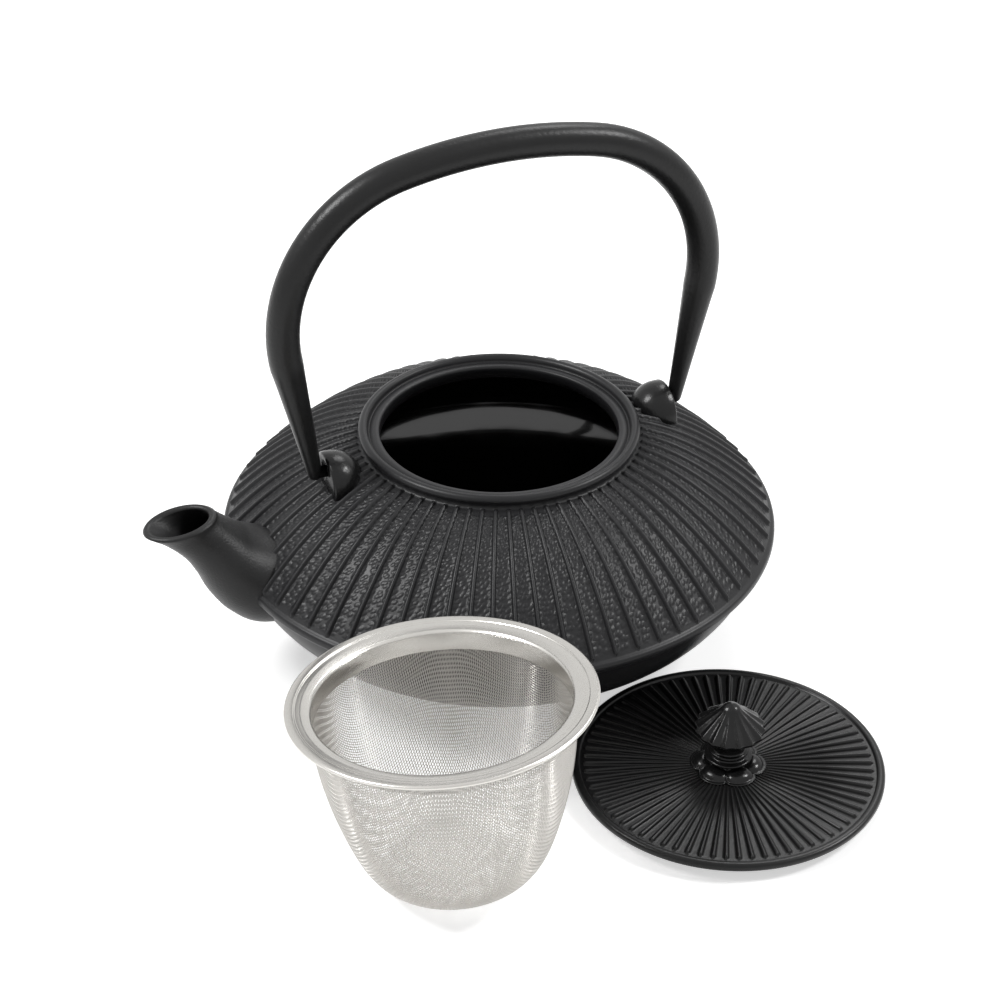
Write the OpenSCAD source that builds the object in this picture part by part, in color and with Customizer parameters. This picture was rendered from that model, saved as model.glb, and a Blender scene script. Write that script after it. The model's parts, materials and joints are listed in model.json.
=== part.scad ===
// Cast-iron teapot with its lid and tea infuser set out beside it.
// Millimetres, +Z up. The pot stands on z = 0 with its axis on the origin and
// its spout along -X. The lid and the infuser stand on the same z = 0 plane.

/* [Pot body] */
// Radius of the belly flange, the widest line of the pot
belly_r = 88; // [70:0.5:120]
// Height of the top of the belly flange above the table
belly_z = 37; // [28:0.5:60]
// Thickness of the belly flange
flange_t = 3.2; // [2:0.1:5]
// Radius of the flat foot
foot_r = 42; // [30:0.5:60]
// Height of the shoulder where it meets the mouth bead
neck_z = 66; // [50:0.5:90]
// How far the shoulder bulges above a straight cone
shoulder_bulge = 4.5; // [0:0.1:8]
// Wall thickness of the casting
wall = 3; // [2:0.1:5]
// Thickness of the enamel inside
enamel_t = 0.6; // [0.3:0.1:1.2]

/* [Mouth] */
// Outer radius of the mouth bead
bead_r = 44.2; // [38:0.5:60]
// Height of the top of the mouth bead
mouth_z = 70.2; // [56:0.1:100]
// Radius of the recess inside the bead
recess_r = 41.2; // [36:0.5:56]
// Radius of the mouth opening
mouth_r = 37.5; // [30:0.5:52]
// Depth of the ledge below the bead
ledge_drop = 1.8; // [0.8:0.1:4]

/* [Spout] */
// How far the pouring tip reaches from the pot axis
spout_reach = 118; // [100:0.5:150]
// Height of the pouring lip
lip_z = 60; // [48:0.5:90]
// Half the width of the spout where it leaves the body
spout_root_w = 17; // [12:0.5:24]
// Half the width of the lip
lip_w = 8.8; // [6:0.1:14]
// Wall thickness of the spout
spout_wall = 2.4; // [1.6:0.1:4]
// Radius of the hole through the body into the spout
passage_r = 8.5; // [5:0.5:12]

/* [Handle and lugs] */
// Distance from the pot axis to the flat outer face of each lug
lug_face = 58; // [50:0.5:72]
// Radius of the rounded lug
lug_r = 9.5; // [7:0.1:14]
// Height of the middle of the lug dome
lug_z = 62; // [50:0.5:80]
// Height of the handle's hinge line
hinge_z = 66; // [52:0.5:84]
// Radius of the hook pins
pin_r = 1.9; // [1.2:0.05:3]
// Radial clearance of the hook pins in the lugs
pin_clear = 0.1; // [0.05:0.01:0.4]
// How far each pin goes into its lug
pin_in = 6.5; // [4:0.1:10]
// Air between the handle's ends and the lug faces
handle_gap = 0.8; // [0.4:0.1:2]
// Radius of the handle's tube along the top
grip_r = 5.1; // [3.5:0.1:8]
// Radius of the handle's ends
tip_r = 2.3; // [2:0.1:4]
// Half the widest width of the handle, to the tube's middle
arch_half = 69; // [60:0.5:90]
// Height of that widest place above the hinge line
arch_side = 47.8; // [40:0.5:80]
// Height of the top of the handle's middle line above the hinge line
arch_top = 98.6; // [80:0.5:150]
// Radius of the handle's two shoulders
arch_corner = 48.5; // [25:0.5:60]

/* [Lid] */
// Outer radius of the lid
lid_r = 46.6; // [38:0.1:62]
// Thickness of the lid plate
lid_t = 2.3; // [1.6:0.1:4]
// Outer radius of the locating ring under the lid
ring_r = 35.5; // [28:0.1:50]
// Width of the locating ring
ring_w = 2; // [1:0.1:4]
// Height of the locating ring
ring_h = 3.3; // [2:0.1:6]
// Lid's place on the table, along X
lid_x = 29; // [10:0.5:60]
// Lid's place on the table, along Y
lid_y = -108; // [-160:0.5:-106]

/* [Knob] */
// Radius of the knob's cap
cap_r = 10; // [7:0.1:14]
// Height of the cap's lower edge above the lid
cap_z = 13; // [8:0.1:20]
// Height of the knob's tip above the lid
knob_h = 22; // [18:0.5:36]
// Radius of the knob's stem
stem_r = 5; // [3:0.1:7]
// Radius of the rosette under the knob
rosette_r = 10.8; // [8:0.1:15]
// Thickness of the rosette
rosette_t = 3; // [1.5:0.1:5]
// Number of petals on the rosette
petals = 6; // [4:1:10]
// Radius of the rivet that holds the knob
rivet_r = 2.2; // [1.5:0.1:3]
// Radial clearance of the rivet in the lid
rivet_clear = 0.1; // [0.05:0.01:0.3]

/* [Infuser] */
// Outer radius of the infuser's rim
rim_r = 43.4; // [36:0.1:58]
// Height of the infuser
basket_h = 59.5; // [40:0.5:90]
// Outer radius of the basket where it leaves the rim
basket_r = 37; // [28:0.1:50]
// Radius of the flat bottom of the basket
bottom_r = 15; // [8:0.5:30]
// Thickness of the mesh
mesh_t = 0.5; // [0.3:0.1:1]
// Thickness of the pressed rim
rim_t = 0.7; // [0.4:0.1:1.2]
// Height of the plain band inside the rim
band_h = 5.5; // [3:0.1:10]
// Thickness of the plain band
band_t = 0.5; // [0.3:0.1:1]
// Infuser's place on the table, along X
basket_x = -61.5; // [-110:0.5:-40]
// Infuser's place on the table, along Y
basket_y = -118; // [-160:0.5:-108]
// How far the infuser leans as it stands, in degrees
basket_lean = 6.4; // [0:0.1:8]
// Direction the infuser leans towards, in degrees from +X
basket_lean_to = 105; // [0:1:360]
// Radius of curvature of the infuser's rounded bottom
dome_r = 100; // [80:5:400]

/* [Hidden] */
$fn = 96;
iron = [0.10, 0.10, 0.11];
enamel = [0.03, 0.03, 0.03];
steel = [0.78, 0.78, 0.76];

flange_lo = belly_z - flange_t;
shoulder_r = belly_r - 1.2;
neck_r = bead_r - 0.6;
bowl_r = belly_r - 3.4;
ledge_z = mouth_z - ledge_drop;
lip_under = ledge_z - 4;
bead_c = (bead_r + recess_r) / 2;
bead_half = (bead_r - recess_r) / 2;

// The shoulder's outer line: f = 0 at the flange, 1 at the neck.
function shoulder_at(f, off) = [
  shoulder_r - f * (shoulder_r - neck_r) - off * 0.45,
  belly_z + f * (neck_z - belly_z) + shoulder_bulge * 4 * f * (1 - f) - off];
// The bowl's outer line: f = 0 at the foot, 1 under the flange.
function bowl_at(f, off) = [
  foot_r + (bowl_r - foot_r) * pow(1 - pow(1 - f, 1.75), 1 / 1.75) - off,
  1.5 + f * (flange_lo - 1.5) + off * (1 - f) * 0.8];

// Profile of the pot as if it were solid.
function outer_line() = concat(
  [[0, 0], [foot_r - 0.8, 0], [foot_r, 0.8]],
  [for (i = [0 : 9]) bowl_at(i / 9, 0)],
  [[belly_r - 0.9, flange_lo], [belly_r, flange_lo + 0.9], [belly_r, belly_z - 0.8],
    [belly_r - 0.6, belly_z]],
  [for (i = [0 : 8]) shoulder_at(i / 8, 0)],
  [[neck_r, mouth_z - bead_half], [bead_r - 0.2, mouth_z - bead_half]]);

// Profile of the hollow, at a distance off from the outer line.
function inner_line(off) = concat(
  [[0, off + 0.6], [foot_r - 3, off + 0.6]],
  [for (i = [1 : 8]) bowl_at(i / 9, off)],
  [for (i = [1 : 8]) shoulder_at(i / 8, off)]);

module pot_solid() {
  rotate_extrude() polygon(concat(outer_line(), [[0, mouth_z - bead_half]]));
}

module pot_body() {
  color(iron) difference() {
    union() {
      rotate_extrude() polygon(concat(outer_line(),
        [[recess_r, mouth_z - bead_half], [recess_r, ledge_z], [mouth_r, ledge_z],
          [mouth_r, lip_under], [shoulder_at(1, wall)[0], shoulder_at(1, wall)[1]]],
        [for (i = [7 : -1 : 1]) shoulder_at(i / 8, wall)],
        [for (i = [8 : -1 : 1]) bowl_at(i / 9, wall)],
        [[foot_r - 3, wall + 0.6], [0, wall + 0.6]]));
      translate([0, 0, mouth_z - bead_half]) rotate_extrude()
        translate([bead_c, 0]) circle(r = bead_half, $fn = 24);
    }
    passage();
  }
}

// The enamel covers the inside of the casting up to the mouth's lower edge.
module enamel_lining() {
  color(enamel) difference() {
    rotate_extrude() polygon(concat(
      inner_line(wall),
      [for (i = [8 : -1 : 1]) shoulder_at(i / 8, wall + enamel_t)],
      [for (i = [8 : -1 : 1]) bowl_at(i / 9, wall + enamel_t)],
      [[foot_r - 3.4, wall + enamel_t + 0.6], [0, wall + enamel_t + 0.6]]));
    passage();
  }
}

// Hole from the hollow into the spout.
module passage() {
  translate([-(belly_r - 22), 0, belly_z - 2]) rotate([0, -84, 0])
    cylinder(r = passage_r, h = 30);
}

// Spout sections: the upper edge's x and z, the lower edge's x and z, and half
// the width. x is measured out from the pot axis.
function spout_rows(w) = [
  [60, 42, 64, 18, spout_root_w - 1 - w],
  [76.5, 47.8, 83.5, 20, spout_root_w + 0.5 - w],
  [82.6, 50.6, 92.2, 25.5, spout_root_w - 0.9 - w],
  [86.6, 53.6, 97.6, 33, spout_root_w - 3.2 - w],
  [90, 56.6, 100.8, 40.5, spout_root_w - 6 - w],
  [91.8, 58.3, 104.5, 47, 9.4 - w],
  [92.8, lip_z - 0.7, 110.5, lip_z - 6.8, 8.6 - w],
  [93.2, lip_z, spout_reach - 1, lip_z - 2.9, lip_w - w]];

function spout_ring(row, w, n) = let(
  cx = (row[0] + row[2]) / 2,
  cz = (row[1] + row[3]) / 2,
  dx = (row[2] - row[0]) / 2,
  dz = (row[3] - row[1]) / 2,
  len = sqrt(dx * dx + dz * dz),
  k = (len - w) / len)
  [for (i = [0 : n - 1]) [
    -(cx + k * dx * cos(360 * i / n)),
    row[4] * sin(360 * i / n),
    cz + k * dz * cos(360 * i / n)]];

module loft(rings) {
  n = len(rings[0]);
  m = len(rings);
  polyhedron(
    points = [for (ring = rings) each ring],
    faces = concat(
      [[for (i = [n - 1 : -1 : 0]) i]],
      [for (j = [0 : m - 2]) for (i = [0 : n - 1])
        [j * n + i, (j + 1) * n + (i + 1) % n, (j + 1) * n + i]],
      [for (j = [0 : m - 2]) for (i = [0 : n - 1])
        [j * n + i, j * n + (i + 1) % n, (j + 1) * n + (i + 1) % n]],
      [[for (i = [0 : n - 1]) (m - 1) * n + i]]));
}

module spout() {
  outer = [for (row = spout_rows(0)) spout_ring(row, 0, 28)];
  inner_rows = spout_rows(spout_wall);
  inner = concat(
    [for (row = inner_rows) spout_ring(row, spout_wall, 28)],
    [spout_ring(inner_rows[7] + [0.2, 4, 1, 4, 0], spout_wall, 28)]);
  color(iron) difference() {
    loft(outer);
    loft(inner);
    pot_solid();
  }
}

// One lug on the +X side: a rounded boss with a flat outer face and a bore.
module lug() {
  color(iron) difference() {
    intersection() {
      union() {
        translate([lug_face - 2.5, 0, lug_z]) sphere(r = lug_r, $fn = 64);
        translate([lug_face - 14, -lug_r - 1, lug_z - 12])
          cube([14, 2 * lug_r + 2, 12 - 1.6]);
      }
      translate([0, -20, 0]) cube([lug_face, 40, 100]);
      translate([0, 0, 0]) cylinder(r = lug_face + 1.4, h = 100);
    }
    pot_solid();
    cylinder(r = bead_r + 1.2, h = 100);
    translate([lug_face - pin_in - 1, 0, hinge_z]) rotate([0, 90, 0])
      cylinder(r = pin_r + pin_clear, h = pin_in + 2, $fn = 48);
  }
}

module front_lug() {
  mirror([1, 0, 0]) lug();
}

module back_lug() {
  lug();
}

// The handle's middle line is a flat top arc, two tighter shoulders and two
// straight legs, all tangent to one another.
corner_x = arch_half - arch_corner;
rise = arch_top - arch_side;
top_arc = (corner_x * corner_x + rise * rise - arch_corner * arch_corner)
  / (2 * (rise - arch_corner));
top_half = atan2(corner_x, top_arc - rise);
leg_x = lug_face + handle_gap + tip_r;
leg_lean = leg_angle(6, 0);
leg_top = [corner_x + arch_corner * cos(leg_lean), arch_side - arch_corner * sin(leg_lean)];

// The lean at which a line tangent to the shoulder passes through the leg's end.
function leg_angle(a, n) = n > 12 ? a : leg_angle(
  atan2(corner_x + arch_corner * cos(a) - leg_x, arch_side - arch_corner * sin(a)), n + 1);

// Points of one half of the middle line, from the top to the end of the leg, as
// [x, z, lean of the tube from level, tube radius].
half_line = concat(
  [for (i = [0 : 6]) let(a = top_half * i / 6)
    [top_arc * sin(a), arch_top - top_arc + top_arc * cos(a), a, grip_r]],
  [for (i = [1 : 8]) let(a = top_half + (90 + leg_lean - top_half) * i / 8)
    [corner_x + arch_corner * sin(a), arch_side + arch_corner * cos(a), a, grip_r]],
  [for (i = [1 : 6]) let(f = i / 6)
    [leg_top[0] + (leg_x - leg_top[0]) * f, leg_top[1] * (1 - f), 90 + leg_lean,
      grip_r + (tip_r - grip_r) * pow(f, 0.9)]],
  [[leg_x - 0.5 * tip_r * sin(leg_lean), -0.5 * tip_r, 90 + leg_lean, tip_r * 0.87],
    [leg_x - 0.87 * tip_r * sin(leg_lean), -0.87 * tip_r, 90 + leg_lean, tip_r * 0.5]]);

function tube_ring(p, side, n) = [for (i = [0 : n - 1]) [
  side * (p[0] + p[3] * cos(360 * i / n) * sin(p[2])),
  p[3] * sin(360 * i / n),
  p[1] + p[3] * cos(360 * i / n) * cos(p[2])]];

module handle() {
  last = len(half_line) - 1;
  color(iron) translate([0, 0, hinge_z]) {
    loft(concat(
      [for (j = [last : -1 : 1]) tube_ring(half_line[j], -1, 24)],
      [for (j = [0 : last]) tube_ring(half_line[j], 1, 24)]));
    for (side = [0, 1]) mirror([side, 0, 0])
      translate([lug_face - pin_in, 0, 0]) rotate([0, 90, 0])
        cylinder(r = pin_r, h = pin_in + handle_gap + tip_r, $fn = 48);
  }
}

lid_top = ring_h + lid_t;

module at_lid() {
  translate([lid_x, lid_y, 0]) children();
}

module lid_plate() {
  color(iron) at_lid() difference() {
    rotate_extrude() polygon([[0, ring_h], [ring_r - ring_w, ring_h],
      [ring_r - ring_w, 0], [ring_r, 0], [ring_r, ring_h], [lid_r - 0.8, ring_h],
      [lid_r, ring_h + 0.8], [lid_r, lid_top - 0.7], [lid_r - 0.7, lid_top],
      [lid_r - 2.6, lid_top], [lid_r - 2.9, lid_top - 0.4], [0, lid_top - 0.4]]);
    translate([0, 0, -1]) cylinder(r = rivet_r + rivet_clear, h = lid_top + 2, $fn = 48);
  }
}

seat = lid_top - 0.4;
petal_r = rosette_r * 0.4;

module knob_rosette() {
  color(iron) at_lid() difference() {
    intersection() {
      union() {
        cylinder(r = rosette_r * 0.62, h = seat + rosette_t, $fn = 48);
        for (i = [0 : petals - 1]) rotate([0, 0, (i + 0.5) * 360 / petals])
          translate([rosette_r - petal_r, 0, seat + rosette_t * 0.9 - petal_r])
            sphere(r = petal_r, $fn = 48);
      }
      translate([0, 0, seat]) cylinder(r = 40, h = rosette_t);
    }
    translate([0, 0, -1]) cylinder(r = rivet_r + rivet_clear, h = 60, $fn = 48);
  }
}

module lid_knob() {
  z0 = seat + rosette_t;
  z1 = lid_top + cap_z;
  z2 = lid_top + knob_h;
  color(iron) at_lid() difference() {
    rotate_extrude() polygon([[0, z0], [stem_r + 1.6, z0], [stem_r + 1.8, z0 + 0.7],
      [stem_r + 0.6, z0 + 1.3], [stem_r + 0.2, z0 + 1.8], [stem_r + 0.9, z0 + 2.4],
      [stem_r + 0.3, z0 + 3.1], [stem_r - 0.2, z0 + 4.2], [stem_r + 0.1, z1 - 2.2],
      [stem_r + 1.4, z1 - 1.2], [cap_r - 1.2, z1 - 0.9], [cap_r, z1],
      [cap_r - 0.1, z1 + 0.8], [cap_r * 0.87, z1 + 2.7], [cap_r * 0.7, z1 + 5],
      [cap_r * 0.46, z2 - 3], [cap_r * 0.22, z2 - 0.8], [0, z2]]);
    translate([0, 0, z0 - 1]) cylinder(r = rivet_r, h = 6, $fn = 48);
  }
}

// A spigot cast in the knob, passed through rosette and lid and peened below.
module knob_rivet() {
  color(iron) at_lid() rotate_extrude($fn = 48) polygon([[0, ring_h - 1.6],
    [rivet_r + 1, ring_h - 1.6], [rivet_r + 2, ring_h - 0.7], [rivet_r + 2, ring_h],
    [rivet_r, ring_h], [rivet_r, seat + rosette_t + 5], [0, seat + rosette_t + 5]]);
}

module at_basket() {
  translate([basket_x, basket_y, dome_r * (1 - cos(basket_lean))])
    rotate([0, 0, basket_lean_to]) rotate([0, basket_lean, 0])
      rotate([0, 0, -basket_lean_to]) children();
}

// Height of the rounded bottom at a radius from the basket's own axis.
function dome_at(r) = dome_r - sqrt(dome_r * dome_r - r * r);

// The basket's outer line from the bottom to the rim.
function basket_line(off) = [
  for (r = [4, 8, 12, bottom_r]) [r, dome_at(r) + off],
  [bottom_r + 4.6 - off * 0.3, 2.4 + off],
  [bottom_r + 8.3 - off * 0.7, 4.8 + off * 0.7],
  [basket_r - 10.8 - off, 8.6 + off * 0.3], [basket_r - 8.4 - off, 13.6],
  [basket_r - 5.8 - off, 21], [basket_r - 3.4 - off, 29.5],
  [basket_r - 1.6 - off, 38], [basket_r - 0.5 - off, 46],
  [basket_r - off, basket_h - 1.6 - band_h - 0.2]];

module infuser_mesh() {
  color(steel) at_basket() rotate_extrude() polygon(concat(
    [[0, 0]], basket_line(0), [[basket_r, basket_h - 1.6], [basket_r - mesh_t, basket_h - 1.6]],
    [for (i = [len(basket_line(0)) - 1 : -1 : 0]) basket_line(mesh_t)[i]], [[0, mesh_t]]));
}

module infuser_band() {
  color(steel) at_basket() translate([0, 0, basket_h - 1.6 - band_h]) difference() {
    cylinder(r = basket_r - mesh_t, h = band_h);
    translate([0, 0, -1]) cylinder(r = basket_r - mesh_t - band_t, h = band_h + 2);
  }
}

module infuser_rim() {
  inner = basket_r - mesh_t - band_t;
  color(steel) at_basket() rotate_extrude() polygon([
    [inner, basket_h - 1.6], [basket_r + 0.6, basket_h - 1.6],
    [basket_r + 0.9, basket_h - rim_t - 0.6], [basket_r + 2, basket_h - rim_t],
    [rim_r - 2.2, basket_h - rim_t], [rim_r - 1.8, basket_h - 1.5],
    [rim_r - 0.7, basket_h - 1.5], [rim_r, basket_h - 0.9], [rim_r, basket_h - 0.3],
    [rim_r - 0.5, basket_h], [basket_r + 1.6, basket_h], [inner + 0.6, basket_h - 0.5],
    [inner, basket_h - 1.2]]);
}

pot_body();
enamel_lining();
spout();
front_lug();
back_lug();
handle();
lid_plate();
knob_rosette();
lid_knob();
knob_rivet();
infuser_rim();
infuser_band();
infuser_mesh();
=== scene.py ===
"""Cast-iron teapot with its ribbed lid and its wire infuser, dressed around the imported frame.

Lengths are in metres, in the frame's own axes: the pot stands on z = 0 with its axis on the
origin, its spout points along -X, and the lid and the infuser stand beside it on -Y.
"""

import json
import logging
import math
from dataclasses import dataclass
from enum import Enum
from typing import Any, Iterable, Sequence

import bmesh
import bpy
import numpy as np
from mathutils import Matrix, Vector


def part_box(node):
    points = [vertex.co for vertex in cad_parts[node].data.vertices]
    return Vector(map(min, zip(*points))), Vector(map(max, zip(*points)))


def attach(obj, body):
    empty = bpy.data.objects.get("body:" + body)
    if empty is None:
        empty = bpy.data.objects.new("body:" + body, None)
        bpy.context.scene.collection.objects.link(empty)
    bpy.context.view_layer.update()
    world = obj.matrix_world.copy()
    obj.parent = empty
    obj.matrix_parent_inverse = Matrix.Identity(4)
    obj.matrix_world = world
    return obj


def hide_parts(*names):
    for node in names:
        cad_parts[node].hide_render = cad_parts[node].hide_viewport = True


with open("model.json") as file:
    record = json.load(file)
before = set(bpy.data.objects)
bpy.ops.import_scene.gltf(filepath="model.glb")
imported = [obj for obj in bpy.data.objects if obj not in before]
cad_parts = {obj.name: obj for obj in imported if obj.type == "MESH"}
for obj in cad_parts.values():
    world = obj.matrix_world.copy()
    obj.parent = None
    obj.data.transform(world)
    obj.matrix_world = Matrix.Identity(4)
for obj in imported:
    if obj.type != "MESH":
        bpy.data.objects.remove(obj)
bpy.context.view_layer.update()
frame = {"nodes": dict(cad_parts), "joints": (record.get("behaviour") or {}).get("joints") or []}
LOG = logging.getLogger("teapot")
MM = 0.001
TURN = 2 * math.pi


class Slot(Enum):
    """The record's material slots."""

    IRON = "black_iron"
    ENAMEL = "black_enamel"
    STEEL = "stainless"


class Body(Enum):
    """The bodies that move on their own."""

    POT = "pot"
    BAIL = "bail"
    LID = "lid"
    INFUSER = "infuser"


# ---------------------------------------------------------------- shaders


class Wire:
    """A shader socket that takes part in Python expressions."""

    def __init__(self, shader: "Shader", socket: bpy.types.NodeSocket) -> None:
        """Keeps the socket and the shader it belongs to."""
        self.shader = shader
        self.socket = socket

    def math(self, operation: str, *others: Any, first: bool = True) -> "Wire":
        """Adds one Math node.

        Args:
            operation: the Math node's operation.
            others: the other operands, wires or numbers.
            first: whether this wire is the first operand.

        Returns:
            The node's result.
        """
        operands = [self, *others] if first else [*others, self]
        inputs = {i: value for i, value in enumerate(operands)}
        return self.shader.node("ShaderNodeMath", {"operation": operation}, inputs)

    def __add__(self, other: Any) -> "Wire":
        """Returns self + other."""
        return self.math("ADD", other)

    def __radd__(self, other: Any) -> "Wire":
        """Returns other + self."""
        return self.math("ADD", other, first=False)

    def __sub__(self, other: Any) -> "Wire":
        """Returns self - other."""
        return self.math("SUBTRACT", other)

    def __rsub__(self, other: Any) -> "Wire":
        """Returns other - self."""
        return self.math("SUBTRACT", other, first=False)

    def __mul__(self, other: Any) -> "Wire":
        """Returns self * other."""
        return self.math("MULTIPLY", other)

    def __rmul__(self, other: Any) -> "Wire":
        """Returns other * self."""
        return self.math("MULTIPLY", other, first=False)

    def step(self, low: float, high: float) -> "Wire":
        """Returns 0 below low, 1 above high and a smooth rise between them."""
        settings = {"interpolation_type": "SMOOTHSTEP"}
        inputs = {"Value": self, "From Min": low, "From Max": high}
        return self.shader.node("ShaderNodeMapRange", settings, inputs)


class Shader:
    """A material being built, around one Principled BSDF."""

    def __init__(self, name: str) -> None:
        """Starts an empty material of that name."""
        self.material = bpy.data.materials.new(name)
        self.material.use_nodes = True
        self.tree = self.material.node_tree
        self.surface = self.tree.nodes["Principled BSDF"]

    def node(
        self, kind: str, settings: dict[str, Any], inputs: dict[Any, Any], output: Any = 0
    ) -> Wire:
        """Adds a node of any type.

        Args:
            kind: the node's type.
            settings: its own settings; "stops" gives a ramp's stops as (place, grey) pairs.
            inputs: the values or wires of its sockets, by name or number.
            output: the socket that is returned.

        Returns:
            The named output as a wire.
        """
        made = self.tree.nodes.new(kind)
        for key, value in settings.items():
            if key == "stops":
                self._stops(made.color_ramp, value)
            else:
                setattr(made, key, value)
        for key, value in inputs.items():
            self.feed(made.inputs[key], value)
        return Wire(self, made.outputs[output])

    @staticmethod
    def _stops(ramp: bpy.types.ColorRamp, stops: Sequence[tuple[float, float]]) -> None:
        """Sets a colour ramp's stops to greys."""
        while len(ramp.elements) < len(stops):
            ramp.elements.new(0.5)
        for element, (place, grey) in zip(ramp.elements, stops):
            element.position = place
            element.color = (grey, grey, grey, 1)

    def feed(self, socket: bpy.types.NodeSocket, value: Any) -> None:
        """Links a wire to a socket, or sets the socket's own value."""
        if isinstance(value, Wire):
            self.tree.links.new(value.socket, socket)
        else:
            socket.default_value = value

    def set(self, **values: Any) -> None:
        """Sets the surface's sockets; an underscore in a name stands for a space."""
        for key, value in values.items():
            self.feed(self.surface.inputs[key.replace("_", " ")], value)

    def place(self) -> Wire:
        """Returns the point's place in the frame."""
        return self.node("ShaderNodeTexCoord", {}, {}, "Object")

    def noise(self, scale: float, detail: float = 3.0, at: Wire | None = None) -> Wire:
        """Returns a cloudy 0 to 1 pattern of that many cells to the metre."""
        inputs = {"Vector": at or self.place(), "Scale": scale, "Detail": detail}
        return self.node("ShaderNodeTexNoise", {}, inputs)

    def mix(self, amount: Wire, low: Sequence[float], high: Sequence[float]) -> Wire:
        """Returns a colour between low and high."""
        settings = {"data_type": "RGBA"}
        return self.node(
            "ShaderNodeMix", settings, {0: amount, 6: (*low, 1), 7: (*high, 1)}, 2
        )

    def relief(self, height: Wire, depth: float, strength: float = 1.0) -> None:
        """Bends the surface's normal by a height pattern of that depth in metres."""
        inputs = {"Height": height, "Distance": depth, "Strength": strength}
        self.set(Normal=self.node("ShaderNodeBump", {}, inputs))


@dataclass(frozen=True)
class CastIron:
    """Satin black paint over a sand-cast skin."""

    name: str
    dark: float = 0.008
    light: float = 0.015
    rough: float = 0.38
    grain: float = 900.0
    grain_depth: float = 0.00012

    def make(self) -> bpy.types.Material:
        """Returns the material."""
        shader = Shader(self.name)
        cloud = shader.noise(60.0)
        low, high = (self.dark,) * 3, (self.light, self.light, self.light * 1.04)
        shader.set(
            Base_Color=shader.mix(cloud, low, high),
            Roughness=cloud * 0.12 + (self.rough - 0.06),
            Specular_IOR_Level=0.26,
        )
        shader.relief(shader.noise(self.grain, 4.0), self.grain_depth)
        return shader.material


@dataclass(frozen=True)
class HatchedIron:
    """Cast iron whose shoulder carries slanted tool strokes between its ribs."""

    name: str
    ribs: int
    phase: float
    inner_r: float
    outer_r: float
    shoulder_z: float
    columns: float = 4.0
    stroke: float = 0.0014
    slant: float = 0.45
    depth: float = 0.00014

    def make(self) -> bpy.types.Material:
        """Returns the material."""
        shader = Shader(self.name)
        split = shader.node("ShaderNodeSeparateXYZ", {}, {0: shader.place()})
        x, y, z = (Wire(shader, split.socket.node.outputs[i]) for i in range(3))
        radius = (x * x + y * y).math("SQRT")
        turn = y.math("ARCTAN2", x) * (self.ribs / TURN) - self.phase * self.ribs / TURN
        across = ((turn + 0.5).math("FRACT") - 0.5).math("ABSOLUTE")
        along = radius * (1 / self.stroke)
        lane = turn * self.columns + along * self.slant
        spot = shader.node("ShaderNodeCombineXYZ", {}, {0: lane, 1: along, 2: 0.0})
        cells = shader.node(
            "ShaderNodeTexVoronoi",
            {"feature": "F1", "voronoi_dimensions": "2D"},
            {"Vector": spot, "Scale": 1.0, "Randomness": 0.75},
        )
        between = across.step(0.10, 0.17)
        zone = radius.step(self.inner_r, self.inner_r + 0.001)
        zone = zone * (1 - radius.step(self.outer_r - 0.001, self.outer_r))
        zone = zone * z.step(self.shoulder_z, self.shoulder_z + 0.0005)
        strokes = (1 - cells.step(0.12, 0.62)) * between * zone
        grain = shader.noise(1100.0, 4.0)
        cloud = shader.noise(45.0)
        shader.set(
            Base_Color=shader.mix(cloud, (0.008, 0.008, 0.009), (0.015, 0.015, 0.016)),
            Roughness=cloud * 0.10 + 0.34,
            Specular_IOR_Level=0.26,
        )
        shader.relief(strokes + grain * 0.22, self.depth)
        return shader.material


@dataclass(frozen=True)
class GlossEnamel:
    """Black enamel, wet-looking and a little wavy."""

    name: str = "gloss enamel"

    def make(self) -> bpy.types.Material:
        """Returns the material."""
        shader = Shader(self.name)
        wave = shader.noise(55.0, 1.0)
        shader.set(
            Base_Color=shader.mix(wave, (0.004, 0.004, 0.004), (0.009, 0.009, 0.010)),
            Roughness=wave * 0.08 + 0.06,
            Coat_Weight=0.6,
        )
        shader.relief(wave, 0.0004)
        return shader.material


@dataclass(frozen=True)
class Stainless:
    """Bright stainless steel, polished or drawn into wire."""

    name: str
    rough: float
    tone: tuple[float, float, float] = (0.70, 0.68, 0.65)
    streak: float = 260.0

    def make(self) -> bpy.types.Material:
        """Returns the material."""
        shader = Shader(self.name)
        streaks = shader.noise(self.streak, 2.0)
        darker = tuple(c * 0.94 for c in self.tone)
        shader.set(
            Base_Color=shader.mix(streaks, darker, self.tone),
            Metallic=1.0,
            Roughness=streaks * 0.06 + self.rough,
        )
        shader.relief(streaks, 0.00002, 0.12)
        return shader.material


# ---------------------------------------------------------------- meshes


def skin(name: str, rows: np.ndarray, wrap: bool = True) -> bpy.types.Object:
    """Makes a smooth mesh from rows of points.

    Args:
        name: the object's name.
        rows: an array of (rows, columns, 3) points.
        wrap: whether the last row joins the first one.

    Returns:
        The new object, its columns always joined into a ring.
    """
    count, width = rows.shape[:2]
    last = count if wrap else count - 1
    i, j = np.meshgrid(np.arange(last), np.arange(width), indexing="ij")
    i2, j2 = (i + 1) % count, (j + 1) % width
    quads = np.stack([i * width + j, i * width + j2, i2 * width + j2, i2 * width + j], -1)
    return solid(name, rows.reshape(-1, 3), quads.reshape(-1, 4))


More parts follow.
